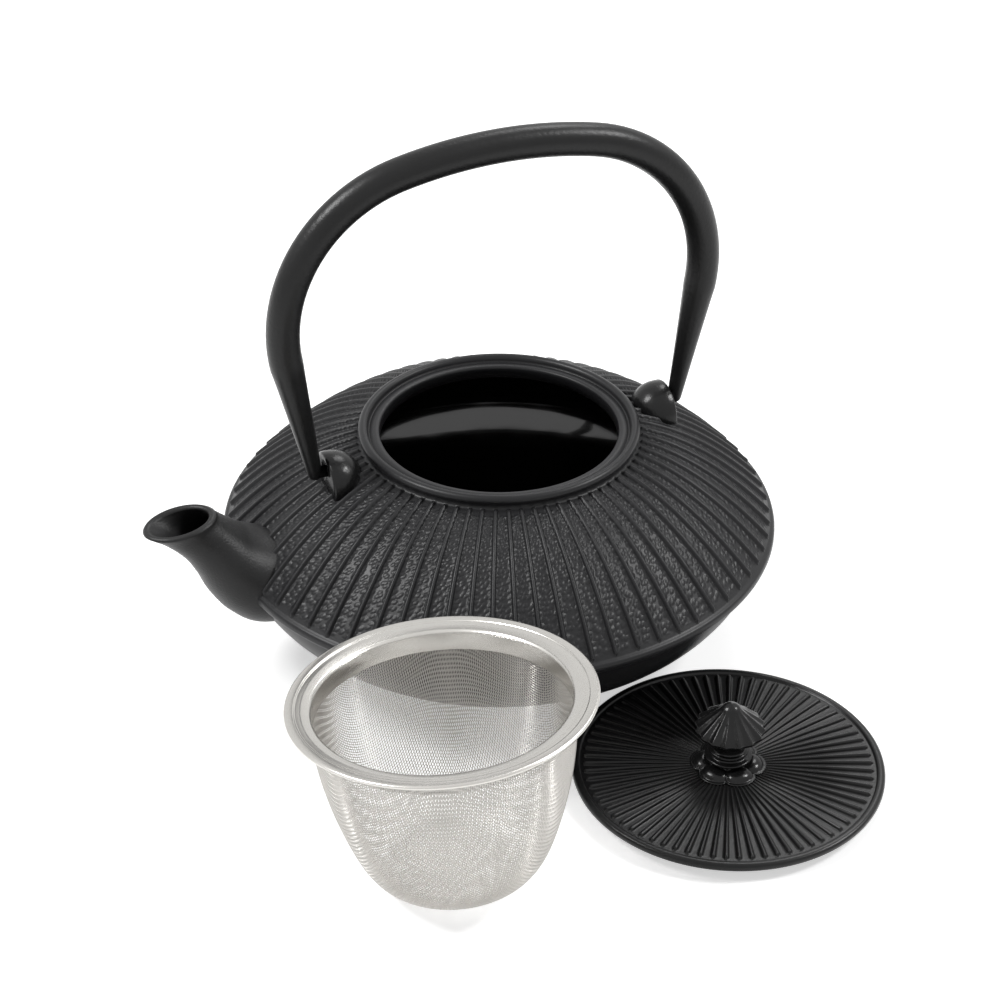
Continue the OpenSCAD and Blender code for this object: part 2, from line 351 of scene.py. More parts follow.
def solid(name: str, points: np.ndarray, faces: np.ndarray) -> bpy.types.Object:
    """Makes a smooth object from points and faces, with doubles welded and faces turned out."""
    mesh = bpy.data.meshes.new(name)
    mesh.from_pydata(points.tolist(), [], faces.tolist())
    work = bmesh.new()
    work.from_mesh(mesh)
    bmesh.ops.remove_doubles(work, verts=work.verts, dist=1e-6)
    bmesh.ops.recalc_face_normals(work, faces=work.faces)
    for face in work.faces:
        face.smooth = True
    work.to_mesh(mesh)
    work.free()
    made = bpy.data.objects.new(name, mesh)
    bpy.context.scene.collection.objects.link(made)
    return made


def turned(profile: Sequence[tuple[float, float]], columns: int) -> np.ndarray:
    """Turns a profile of (radius, height) pairs about Z.

    Args:
        profile: the outline's points.
        columns: how many points go round.

    Returns:
        Rows of points, one row for each point of the profile.
    """
    angles = np.arange(columns) * TURN / columns
    r, z = np.array(profile, float).T
    return np.stack(
        [np.outer(r, np.cos(angles)), np.outer(r, np.sin(angles)), np.outer(z, 1 + 0 * angles)],
        -1,
    )


def rounded(points: Sequence[Sequence[float]], radius: float, steps: int = 4) -> np.ndarray:
    """Rounds the corners of a closed outline.

    Args:
        points: the outline's corners.
        radius: the rounding, less where an edge is short.
        steps: points on each rounded corner.

    Returns:
        The rounded outline.
    """
    p = np.array(points, float)
    out = []
    for k in range(len(p)):
        here, back, ahead = p[k], p[k - 1] - p[k], p[(k + 1) % len(p)] - p[k]
        near = min(radius, np.linalg.norm(back) * 0.45, np.linalg.norm(ahead) * 0.45)
        a = here + back / max(np.linalg.norm(back), 1e-9) * near
        b = here + ahead / max(np.linalg.norm(ahead), 1e-9) * near
        for t in np.linspace(0, 1, steps):
            out.append((1 - t) ** 2 * a + 2 * t * (1 - t) * here + t * t * b)
    return np.array(out)


def smooth_line(points: Sequence[Sequence[float]], per_span: int) -> np.ndarray:
    """Runs a smooth curve through points, per_span steps from each to the next."""
    p = np.array(points, float)
    p = np.vstack([2 * p[0] - p[1], p, 2 * p[-1] - p[-2]])
    out = []
    for k in range(1, len(p) - 2):
        for t in np.arange(per_span) / per_span:
            a = 2 * p[k]
            b = p[k + 1] - p[k - 1]
            c = 2 * p[k - 1] - 5 * p[k] + 4 * p[k + 1] - p[k + 2]
            d = -p[k - 1] + 3 * p[k] - 3 * p[k + 1] + p[k + 2]
            out.append(0.5 * (a + b * t + c * t * t + d * t**3))
    out.append(p[-2])
    return np.array(out)


def cut(piece: bpy.types.Object, tool: bpy.types.Object, operation: str = "DIFFERENCE") -> None:
    """Cuts piece with tool, or joins it on, and removes the tool."""
    modifier = piece.modifiers.new("cut", "BOOLEAN")
    modifier.operation = operation
    modifier.solver = "EXACT"
    modifier.object = tool
    bpy.context.view_layer.update()
    settled = bpy.data.meshes.new_from_object(
        piece.evaluated_get(bpy.context.evaluated_depsgraph_get())
    )
    piece.modifiers.clear()
    piece.data = settled
    bpy.data.objects.remove(tool)


def place(
    piece: bpy.types.Object,
    body: Body,
    slot: Slot,
    material: bpy.types.Material,
    nodes: Iterable[str] = (),
) -> bpy.types.Object:
    """Dresses a piece and ties it to its body.

    Args:
        piece: the new object.
        body: the body it moves with.
        slot: the record's material slot; not used.
        material: its finish.
        nodes: the CAD nodes that it stands for.

    Returns:
        The piece.
    """
    piece.data.materials.clear()
    piece.data.materials.append(material)
    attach(piece, body.value)
    if nodes:
        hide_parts(*nodes)
    LOG.info("%s: %d faces on %s", piece.name, len(piece.data.polygons), body.value)
    return piece


def rib_columns(count: int, phase: float, half_angle: np.ndarray) -> tuple[np.ndarray, np.ndarray]:
    """Spreads columns of points so that they crowd on the ribs.

    Args:
        count: number of ribs.
        phase: the first rib's direction in radians.
        half_angle: half a rib's width at each row, in radians.

    Returns:
        Each point's direction, and its angle from its own rib's middle line.
    """
    on_rib = np.array([-1.15, -0.98, -0.8, -0.5, -0.18, 0.18, 0.5, 0.8, 0.98, 1.15])
    gaps = np.array([0.25, 0.5, 0.75])
    pitch = TURN / count
    offsets = []
    for half in half_angle:
        edge = 1.15 * half
        offsets.append(np.concatenate([on_rib * half, edge + (pitch - 2 * edge) * gaps]))
    offset = np.array(offsets)
    rib = phase + np.arange(count) * pitch
    angle = (rib[None, :, None] + offset[:, None, :]).reshape(len(half_angle), -1)
    away = np.tile(offset, (1, count))
    away = np.where(away > pitch / 2, away - pitch, away)
    return angle, away


# ---------------------------------------------------------------- pot


@dataclass
class PotCasting:
    """The ribbed body: foot, bowl, belly flange, domed shoulder, mouth bead and ledge."""

    belly_r: float
    mouth_z: float
    belly_z: float = 0.037
    flange_t: float = 0.0032
    foot_r: float = 0.042
    neck_z: float = 0.066
    bulge: float = 0.0045
    wall: float = 0.003
    enamel_t: float = 0.0006
    bead_r: float = 0.0442
    recess_r: float = 0.0412
    mouth_r: float = 0.0375
    ledge_drop: float = 0.0018
    passage_r: float = 0.0085
    ribs: int = 72
    rib_phase: float = math.radians(1.1)
    rib_half: float = 0.00078
    rib_h: float = 0.0011

    @classmethod
    def from_frame(cls) -> "PotCasting":
        """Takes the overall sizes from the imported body."""
        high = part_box("pot_body")[1]
        return cls(belly_r=high.x, mouth_z=high.z)

    def shoulder(self, f: float, off: float = 0.0) -> tuple[float, float]:
        """The shoulder's line at f, 0 at the flange and 1 at the neck, moved inward by off."""
        outer, neck = self.belly_r - 1.2 * MM, self.bead_r - 0.6 * MM
        r = outer - f * (outer - neck) - off * 0.45
        z = self.belly_z + f * (self.neck_z - self.belly_z) + self.bulge * 4 * f * (1 - f) - off
        return r, z

    def bowl(self, f: float, off: float = 0.0) -> tuple[float, float]:
        """The bowl's line at f, 0 at the foot and 1 under the flange, moved inward by off."""
        top = self.belly_z - self.flange_t
        outer = self.belly_r - 3.4 * MM
        r = self.foot_r + (outer - self.foot_r) * (1 - (1 - f) ** 1.75) ** (1 / 1.75) - off
        return r, 1.5 * MM + f * (top - 1.5 * MM) + off * (1 - f) * 0.8

    def outside(self) -> list[tuple[float, float]]:
        """The outline from the middle of the foot up to the flange."""
        low = self.belly_z - self.flange_t
        edge = [
            (self.belly_r - 3.0 * MM, low - 0.1 * MM),
            (self.belly_r - 1.0 * MM, low),
            (self.belly_r - 0.25 * MM, low + 0.4 * MM),
            (self.belly_r, low + 1.1 * MM),
            (self.belly_r, self.belly_z - 1.1 * MM),
            (self.belly_r - 0.2 * MM, self.belly_z - 0.4 * MM),
            (self.belly_r - 0.8 * MM, self.belly_z),
        ]
        foot = [(0.0, 0.6 * MM), (self.foot_r - 5 * MM, 0.6 * MM), (self.foot_r - 4.4 * MM, 0.0),
                (self.foot_r - 0.8 * MM, 0.0), (self.foot_r - 0.1 * MM, 0.7 * MM)]
        return foot + [self.bowl(k / 12) for k in range(12)] + edge

    def mouth(self) -> list[tuple[float, float]]:
        """The outline over the bead, down to the ledge and in to the opening."""
        half = (self.bead_r - self.recess_r) / 2
        middle, top = self.bead_r - half, self.mouth_z - half
        bead = [
            (middle + half * math.cos(a), top + half * math.sin(a))
            for a in np.linspace(-0.5, math.pi, 9)
        ]
        ledge = self.mouth_z - self.ledge_drop
        inside = [
            (self.recess_r - 0.1 * MM, ledge - 0.3 * MM),
            (self.recess_r - 0.6 * MM, ledge - 0.5 * MM),
            (self.recess_r - 0.9 * MM, ledge),
            (self.mouth_r + 0.5 * MM, ledge),
            (self.mouth_r + 0.1 * MM, ledge - 0.3 * MM),
            (self.mouth_r, ledge - 1.0 * MM),
            (self.mouth_r, ledge - 4 * MM),
        ]
        return bead + inside

    def inside(self, off: float) -> list[tuple[float, float]]:
        """The hollow's outline at that depth under the skin, from the neck to the middle."""
        down = [self.shoulder(f, off) for f in np.linspace(0.97, 0.12, 10)]
        around = smooth_line(
            [self.shoulder(0.12, off), self.bowl(0.93, off), self.bowl(0.8, off)], 5
        )
        low = [self.bowl(f, off) for f in np.linspace(0.7, 0.08, 9)]
        floor = off + 0.6 * MM
        return down[:-1] + [tuple(p) for p in around] + low + [
            (self.foot_r - 3 * MM, floor), (self.foot_r * 0.5, floor), (0.0, floor)]

    def casting(self) -> bpy.types.Object:
        """Returns the ribbed body; build() cuts the spout's passage through it afterwards."""
        steps = np.concatenate(
            [np.linspace(0.004, 0.055, 9), np.linspace(0.1, 0.88, 11), np.linspace(0.915, 0.985, 8)]
        )
        ribbed = [self.shoulder(f) for f in steps]
        neck = [(self.bead_r - 0.9 * MM, self.neck_z + 0.3 * MM)]
        before = self.outside()
        profile = np.array(before + ribbed + neck + self.mouth() + self.inside(self.wall))
        first, last = len(before), len(before) + len(ribbed)
        along = np.zeros(len(profile))
        gone = np.cumsum(np.linalg.norm(np.diff(profile, axis=0), axis=1))
        along[1:] = gone
        start = along[first] + 1.5 * MM
        end = along[last - 1] - 0.8 * MM
        slope = np.gradient(profile, axis=0)
        slope /= np.maximum(np.linalg.norm(slope, axis=1), 1e-9)[:, None]
        normal = np.stack([slope[:, 1], -slope[:, 0]], 1)
        radius = np.maximum(profile[:, 0], 20 * MM)
        angle, away = rib_columns(self.ribs, self.rib_phase, self.rib_half / radius)
        past = np.maximum(np.maximum(start - along, along - end), 0)
        reach = np.hypot(away * radius[:, None], past[:, None]) / self.rib_half
        rise = self.rib_h * np.sqrt(np.clip(1 - reach**2, 0, 1)) ** 1.2
        rise[:first] = 0
        rise[last:] = 0
        r = profile[:, :1] + normal[:, :1] * rise
        z = profile[:, 1:] + normal[:, 1:] * rise
        rows = np.stack([r * np.cos(angle), r * np.sin(angle), z], -1)
        return skin("pot_casting", rows, wrap=False)

    def coat(self) -> bpy.types.Object:
        """Returns the enamel inside the body."""
        outer = self.inside(self.wall)
        inner = self.inside(self.wall + self.enamel_t)
        return skin("enamel_coat", turned(outer + inner[::-1], 160), wrap=False)

    def passage(self) -> bpy.types.Object:
        """Returns the cutter of the hole into the spout."""
        rows = turned([(0, 0), (self.passage_r, 0), (self.passage_r, 0.03), (0, 0.03)], 48)
        made = skin("passage", rows, wrap=False)
        lean = Matrix.Rotation(math.radians(-84), 4, "Y")
        spot = Vector((-(self.belly_r - 22 * MM), 0, self.belly_z - 2 * MM))
        made.data.transform(Matrix.Translation(spot) @ lean)
        return made

    def core(self) -> bpy.types.Object:
        """Returns a plain solid just under the body's skin, for trimming what joins it."""
        sink = 1.2 * MM
        line = [(0, 0)] + [self.bowl(f, sink) for f in np.linspace(0, 0.97, 14)]
        line += [self.shoulder(f, sink) for f in np.linspace(0.02, 1, 16)]
        line += [(0, self.neck_z)]
        return skin("core", turned(line, 128), wrap=False)

    def build(self) -> None:
        """Builds and dresses the casting and its enamel."""
        body = self.casting()
        cut(body, self.passage())
        coat = self.coat()
        cut(coat, self.passage())
        hatched = HatchedIron(
            "hatched iron", self.ribs, self.rib_phase, self.bead_r + 1.5 * MM,
            self.belly_r - 2.2 * MM, self.belly_z,
        )
        place(body, Body.POT, Slot.IRON, hatched.make(), ["pot_body"])
        place(coat, Body.POT, Slot.ENAMEL, GlossEnamel().make(), ["enamel_lining"])


@dataclass
class Spout:
    """The short spout with its flared lip."""

    pot: PotCasting
    reach: float
    lip_z: float
    root_w: float = 0.017
    lip_w: float = 0.0088
    wall: float = 0.0024
    around: int = 56

    @classmethod
    def from_frame(cls, pot: PotCasting) -> "Spout":
        """Takes the lip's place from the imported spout."""
        low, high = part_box("spout")
        return cls(pot, reach=-low.x, lip_z=high.z)

    def sections(self) -> np.ndarray:
        """Cross-sections: upper edge (out, up), lower edge (out, up), half width."""
        w, z, x = self.root_w, self.lip_z, self.reach
        return smooth_line(
            [
                (60 * MM, 42 * MM, 64 * MM, 18 * MM, w - 1 * MM),
                (76.5 * MM, 47.8 * MM, 83.5 * MM, 20 * MM, w + 0.5 * MM),
                (82.6 * MM, 50.6 * MM, 92.2 * MM, 25.5 * MM, w - 0.9 * MM),
                (86.6 * MM, 53.6 * MM, 97.6 * MM, 33 * MM, w - 3.2 * MM),
                (90 * MM, 56.6 * MM, 100.8 * MM, 40.5 * MM, w - 6 * MM),
                (91.8 * MM, 58.3 * MM, 104.5 * MM, 47 * MM, 9.4 * MM),
                (92.8 * MM, z - 0.7 * MM, 110.5 * MM, z - 6.8 * MM, 8.6 * MM),
                (93.2 * MM, z, x - 1 * MM, z - 2.9 * MM, self.lip_w),
            ],
            7,
        )

    def ring(self, section: np.ndarray, inset: float) -> np.ndarray:
        """Returns the points round one section, inset towards its middle."""
        x1, z1, x2, z2, half = section
        angle = np.arange(self.around) * TURN / self.around
        long = math.hypot(x2 - x1, z2 - z1) / 2
        share = (long - inset) / long * np.cos(angle)
        x = (x1 + x2) / 2 + (x2 - x1) / 2 * share
        z = (z1 + z2) / 2 + (z2 - z1) / 2 * share
        return np.stack([-x, (half - inset) * np.sin(angle), z], 1)

    def build(self) -> None:
        """Builds and dresses the spout, trimmed to the body."""
        sections = self.sections()
        outer = [self.ring(s, 0.0) for s in sections]
        inner = [self.ring(s, self.wall) for s in sections[::-1]]
        lip = []
        tip = sections[-1]
        for t in (0.18, 0.5, 0.82):
            ring = self.ring(tip, self.wall * t)
            ring[:, 2] += 0.8 * MM * math.sin(math.pi * t)
            ring[:, 0] -= 0.3 * MM * math.sin(math.pi * t)
            lip.append(ring)
        made = skin("spout_casting", np.array(outer + lip + inner), wrap=True)
        cut(made, self.pot.core())
        iron = CastIron("brushed iron", 0.009, 0.017, 0.40, 1500.0, 0.0001)
        place(made, Body.POT, Slot.IRON, iron.make(), ["spout"])


@dataclass
class Lug:
    """A half-dome lug on its stepped pad, with the hook's hole in its flat face."""

    pot: PotCasting
    node: str
    side: int
    face: float
    hinge_z: float = 0.066
    dome_r: float = 0.0095
    dome_z: float = 0.062
    hole_r: float = 0.002

    @classmethod
    def from_frame(cls, pot: PotCasting, node: str, side: int) -> "Lug":
        """Takes the lug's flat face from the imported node."""
        low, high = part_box(node)
        return cls(pot, node, side, face=high.x if side > 0 else -low.x)

    def dome(self) -> bpy.types.Object:
        """Returns the rounded boss with its hole."""
        r = self.dome_r
        arc = [(r * math.sin(a), r * math.cos(a)) for a in np.linspace(0, math.pi / 2, 14)]
        line = [(radius, -2.5 * MM - depth) for radius, depth in arc]
        line += [(r, -0.7 * MM), (r - 0.25 * MM, -0.25 * MM), (r - 0.8 * MM, 0)]
        line += [(0, 0)]
        made = skin(self.node + "_boss", turned(line, 72), wrap=False)
        made.data.transform(
            Matrix.Translation((self.face, 0, self.dome_z)) @ Matrix.Rotation(math.pi / 2, 4, "Y")
        )
        return made

    def pad(self, deep: float, wide: float, rise: float) -> bpy.types.Object:
        """Returns a rounded block under the boss."""
        outline = rounded([(0, -wide), (0.8 * MM, wide), (-deep, wide), (-deep, -wide)], 3 * MM, 5)
        rows = []
        for inset, z in ((0.0, -0.012), (0.0, -0.7 * MM), (0.25 * MM, -0.2 * MM), (0.8 * MM, 0.0)):
            ring = outline * (1 - inset / wide)
            rows.append(np.column_stack([ring[:, 0], ring[:, 1], np.full(len(ring), z)]))
        for row, z in ((rows[0], -0.012), (rows[-1], 0.0)):
            middle = np.tile([[-deep / 2, 0.0, z]], (len(row), 1))
            rows = [middle] + rows if z < 0 else rows + [middle]
        made = skin("pad", np.array(rows), wrap=False)
        made.data.transform(Matrix.Translation((self.face, 0, self.dome_z - rise)))
        return made

    def build(self) -> None:
        """Builds and dresses the lug."""
        made = self.dome()
        cut(made, self.pad(13 * MM, 8.6 * MM, 3.6 * MM), "UNION")
        cut(made, self.pad(15 * MM, 10.4 * MM, 5.6 * MM), "UNION")
        hole = skin("hole", turned([(0, 0), (self.hole_r, 0), (self.hole_r, 0.012), (0, 0.012)], 32),
                    wrap=False)
        hole.data.transform(
            Matrix.Translation((self.face - 7.5 * MM, 0, self.hinge_z))
            @ Matrix.Rotation(math.pi / 2, 4, "Y")
        )
        cut(made, hole)
        if self.side < 0:
            made.data.transform(Matrix.Scale(-1, 4, (1, 0, 0)))
            made.data.flip_normals()
        cut(made, self.pot.core())
        iron = CastIron("lug iron", 0.006, 0.011, 0.26, 700.0, 0.0001)
        place(made, Body.POT, Slot.IRON, iron.make(), [self.node])


# ---------------------------------------------------------------- bail


@dataclass
class BailHandle:
    """The arched bail with its tapered legs and hook pins."""

    hinge_z: float
    top: float
    lug_face: float
    gap: float = 0.0008
    grip_r: float = 0.0051
    tip_r: float = 0.0023
    pin_r: float = 0.0019
    pin_in: float = 0.0065
    arch_half: float = 0.069
    arch_side: float = 0.0478
    corner_r: float = 0.0485
    around: int = 40

    @classmethod
    def from_frame(cls, lug_face: float) -> "BailHandle":
        """Takes the hinge line from the joint and the arch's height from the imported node."""
        hinge = next(j for j in frame["joints"] if j["name"] == "handle_hinge")
        z = hinge["origin"][2] if "origin" in hinge else 0.066
        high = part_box("handle")[1].z
        return cls(hinge_z=z, top=high - z - cls.grip_r, lug_face=lug_face)

    def middle_line(self) -> list[tuple[float, float, float, float]]:
        """Half of the middle line, from the top to a leg's end.

        Returns:
            Rows of (out, up, the tube's lean from level, tube radius).
        """
        corner_x = self.arch_half - self.corner_r
        rise = self.top - self.arch_side
        big = (corner_x**2 + rise**2 - self.corner_r**2) / (2 * (rise - self.corner_r))
        half = math.atan2(corner_x, big - rise)
        leg_x = self.lug_face + self.gap + self.tip_r
        lean = math.radians(6)
        for _ in range(12):
            lean = math.atan2(
                corner_x + self.corner_r * math.cos(lean) - leg_x,
                self.arch_side - self.corner_r * math.sin(lean),
            )
        knee = (
            corner_x + self.corner_r * math.cos(lean),
            self.arch_side - self.corner_r * math.sin(lean),
        )
        line = [
            (big * math.sin(a), self.top - big + big * math.cos(a), a, self.grip_r)
            for a in np.linspace(0, half, 14)
        ]
        line += [
            (corner_x + self.corner_r * math.sin(a), self.arch_side + self.corner_r * math.cos(a),
             a, self.grip_r)
            for a in np.linspace(half, math.pi / 2 + lean, 28)[1:]
        ]
        line += [
            (knee[0] + (leg_x - knee[0]) * f, knee[1] * (1 - f), math.pi / 2 + lean,
             self.grip_r + (self.tip_r - self.grip_r) * f**0.9)
            for f in np.linspace(0, 1, 16)[1:]
        ]
        for a in np.linspace(0, math.pi / 2, 6)[1:]:
            drop = self.tip_r * math.sin(a)
            line.append((leg_x - drop * math.sin(lean), -drop, math.pi / 2 + lean,
                         max(self.tip_r * math.cos(a), 1e-5)))
        return line

    def ring(self, row: Sequence[float], side: int) -> np.ndarray:
        """Returns the points round the tube, with the faint seam of its mould inside."""
        x, z, lean, radius = row
        angle = np.arange(self.around) * TURN / self.around
        seam = 1 + 0.035 * np.exp(-(((angle - math.pi) / 0.12) ** 2))
        r = radius * seam
        return np.stack(
            [
                side * (x + r * np.cos(angle) * math.sin(lean)),
                r * np.sin(angle),
                z + r * np.cos(angle) * math.cos(lean),
            ],
            1,
        )

    def build(self) -> None:
        """Builds and dresses the bail and its two pins."""
        line = self.middle_line()
        rows = [self.ring(row, -1) for row in line[:0:-1]] + [self.ring(row, 1) for row in line]
        bar = skin("bail", np.array(rows), wrap=False)
        bar.data.transform(Matrix.Translation((0, 0, self.hinge_z)))
        long = self.pin_in + self.gap + self.tip_r
        for side in (-1, 1):
            shape = [(0, 0), (self.pin_r - 0.3 * MM, 0), (self.pin_r, 0.3 * MM), (self.pin_r, long),
                     (0, long)]
            pin = skin("pin", turned(shape, 32), wrap=False)
            pin.data.transform(
                Matrix.Translation((side * (self.lug_face - self.pin_in), 0, self.hinge_z))
                @ Matrix.Rotation(side * math.pi / 2, 4, "Y")
            )
            cut(bar, pin, "UNION")
        iron = CastIron("bail iron", 0.007, 0.012, 0.34, 800.0, 0.00008)
        place(bar, Body.BAIL, Slot.IRON, iron.make(), ["handle"])


# ---------------------------------------------------------------- lid


@dataclass
class Lid:
    """The ribbed lid with its rosette and umbrella knob."""

    x: float
    y: float
    radius: float
    top: float
    knob_top: float
    ring_h: float = 0.0033
    ring_r: float = 0.0355
    ring_w: float = 0.002
    ribs: int = 72
    rib_share: float = 0.19
    rib_in: float = 0.010
    rib_out: float = 0.0424
    rib_h: float = 0.0010
    cap_r: float = 0.0106
    cap_z: float = 0.013
    stem_r: float = 0.005
    rosette_r: float = 0.0108
    rosette_t: float = 0.003
    flutes: int = 16

    @classmethod
    def from_frame(cls) -> "Lid":
        """Takes the lid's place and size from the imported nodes."""
        low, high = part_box("lid_plate")
        middle = (low + high) / 2
        return cls(middle.x, middle.y, (high.x - low.x) / 2, high.z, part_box("lid_knob")[1].z)

    def here(self, piece: bpy.types.Object) -> bpy.types.Object:
        """Moves a piece made about Z to the lid's place."""
        piece.data.transform(Matrix.Translation((self.x, self.y, 0)))
        return piece

    def plate(self) -> bpy.types.Object:
        """Returns the plate with its radiating ribs."""
        base = self.top - 0.7 * MM
        radii = np.concatenate(
            [[0.0, 6 * MM, 8.5 * MM], np.linspace(9.2 * MM, 13 * MM, 7),
             np.linspace(16 * MM, 41 * MM, 7), np.linspace(41.6 * MM, 43.9 * MM, 11)]
        )
        top = [(r, base) for r in radii]
        edge = [
            (self.radius - 2.5 * MM, base), (self.radius - 2.3 * MM, base + 0.5 * MM),
            (self.radius - 2.0 * MM, self.top), (self.radius - 1.0 * MM, self.top),
            (self.radius - 0.5 * MM, self.top - 0.2 * MM), (self.radius - 0.15 * MM, self.top - 0.5 * MM),
            (self.radius, self.top - 1.0 * MM), (self.radius, self.ring_h + 0.7 * MM),
            (self.radius - 0.2 * MM, self.ring_h + 0.2 * MM), (self.radius - 0.7 * MM, self.ring_h),
            (self.ring_r + 0.3 * MM, self.ring_h), (self.ring_r, self.ring_h - 0.3 * MM),
            (self.ring_r, 0.4 * MM), (self.ring_r - 0.4 * MM, 0.0),
            (self.ring_r - self.ring_w + 0.4 * MM, 0.0), (self.ring_r - self.ring_w, 0.4 * MM),
            (self.ring_r - self.ring_w, self.ring_h), (0.0, self.ring_h),
        ]
        profile = np.array(top + edge)
        radius = np.maximum(profile[:, 0], 8 * MM)
        wide = self.rib_share * TURN / self.ribs * np.ones(len(profile))
        angle, away = rib_columns(self.ribs, math.radians(2.5), wide)
        half = wide * radius
        past = np.maximum(np.maximum(self.rib_in - radius, radius - self.rib_out), 0)
        reach = np.hypot(away * radius[:, None], past[:, None]) / half[:, None]
        tall = self.rib_h * np.clip(radius / (28 * MM), 0.35, 1.0)
        rise = tall[:, None] * np.sqrt(np.clip(1 - reach**2, 0, 1))
        rise[len(top):] = 0
        r = np.broadcast_to(profile[:, :1], rise.shape)
        rows = np.stack([r * np.cos(angle), r * np.sin(angle), profile[:, 1:] + rise], -1)
        return self.here(skin("lid_casting", rows, wrap=False))

    def rosette(self) -> bpy.types.Object:
        """Returns the six-petalled washer under the knob."""
        columns = 180
        angle = np.arange(columns) * TURN / columns
        lobe = np.abs(np.cos(3 * (angle - math.radians(30)))) ** 0.45
        base = self.top - 0.7 * MM
        rim = self.rosette_r * (0.85 + 0.21 * lobe)
        rows = []
        for share, lift in ((0.0, 0.0), (1.0, 0.0), (1.0, 0.45), (0.985, 0.6), (0.95, 0.62),
                            (0.92, 0.55), (0.905, 0.9), (0.87, 1.5), (0.80, 2.1), (0.70, 2.5),
                            (0.62, 2.45), (0.56, 2.2), (0.52, 2.4), (0.50, 3.0), (0.0, 3.0)):
            soft = lobe if lift > 0.8 and share > 0.53 else 1.0
            depth = 0.55 + 0.45 * soft
            r = rim * share if share > 0.53 else self.rosette_r * share + 0 * rim
            z = base + lift * MM * depth * self.rosette_t / (3 * MM)
            rows.append(np.stack([r * np.cos(angle), r * np.sin(angle), z + 0 * angle], 1))
        return self.here(skin("rosette_washer", np.array(rows), wrap=False))

    def knob(self) -> bpy.types.Object:
        """Returns the fluted umbrella knob on its collared stem."""
        s, c = self.stem_r, self.cap_r
        z0 = self.top - 0.4 * MM + self.rosette_t
        z1, z2 = self.top + self.cap_z, self.knob_top
        stem = rounded(
            [(0, z0), (s + 2.0 * MM, z0), (s + 2.1 * MM, z0 + 0.9 * MM), (s + 0.5 * MM, z0 + 1.2 * MM),
             (s + 0.3 * MM, z0 + 1.8 * MM), (s + 0.9 * MM, z0 + 2.1 * MM),
             (s + 0.8 * MM, z0 + 2.9 * MM), (s - 0.1 * MM, z0 + 3.2 * MM),
             (s - 0.3 * MM, z0 + 5 * MM), (s, z1 - 2.4 * MM), (s + 1.4 * MM, z1 - 1.3 * MM)],
            0.4 * MM, 4,
        )[4:]
        cap = smooth_line(
            [(c - 1.2 * MM, z1 - 0.8 * MM), (c - 0.2 * MM, z1 - 0.5 * MM), (c, z1 + 0.1 * MM),
             (c * 0.97, z1 + 0.8 * MM), (c * 0.8, z1 + 2.4 * MM), (c * 0.57, z1 + 4.4 * MM),
             (c * 0.34, z2 - 2.5 * MM), (c * 0.19, z2 - 0.9 * MM), (0.0, z2)],
            5,
        )
        profile = np.vstack([[[0, z0]], stem, cap])
        columns = self.flutes * 12
        angle = np.arange(columns) * TURN / columns
        flute = np.abs(np.cos(angle * self.flutes / 2)) ** 1.3
        share = np.zeros(len(profile))
        out = profile[-len(cap):, 0] / c
        share[-len(cap):] = np.clip((out - 0.24) / 0.3, 0, 1) * (0.4 + 0.6 * out)
        squeeze = 1 - 0.075 * share[:, None] * flute[None, :]
        r = profile[:, :1] * squeeze
        z = profile[:, 1:] - 0.35 * MM * share[:, None] * flute[None, :]
        rows = np.stack([r * np.cos(angle), r * np.sin(angle), z], -1)
        return self.here(skin("umbrella_knob", rows, wrap=False))

    def build(self) -> None:
        """Builds and dresses the lid and what is on it."""
        satin = CastIron("lid iron", 0.005, 0.009, 0.30, 1200.0, 0.00005)
        gloss = CastIron("knob iron", 0.005, 0.009, 0.22, 900.0, 0.00005)
        place(self.plate(), Body.LID, Slot.IRON, satin.make(), ["lid_plate"])
        shiny = gloss.make()
        place(self.rosette(), Body.LID, Slot.IRON, shiny, ["knob_rosette"])
        place(self.knob(), Body.LID, Slot.IRON, shiny, ["lid_knob"])
        rivet = frame["nodes"]["knob_rivet"]
        rivet.data.materials.clear()
        rivet.data.materials.append(shiny)


# ---------------------------------------------------------------- infuser


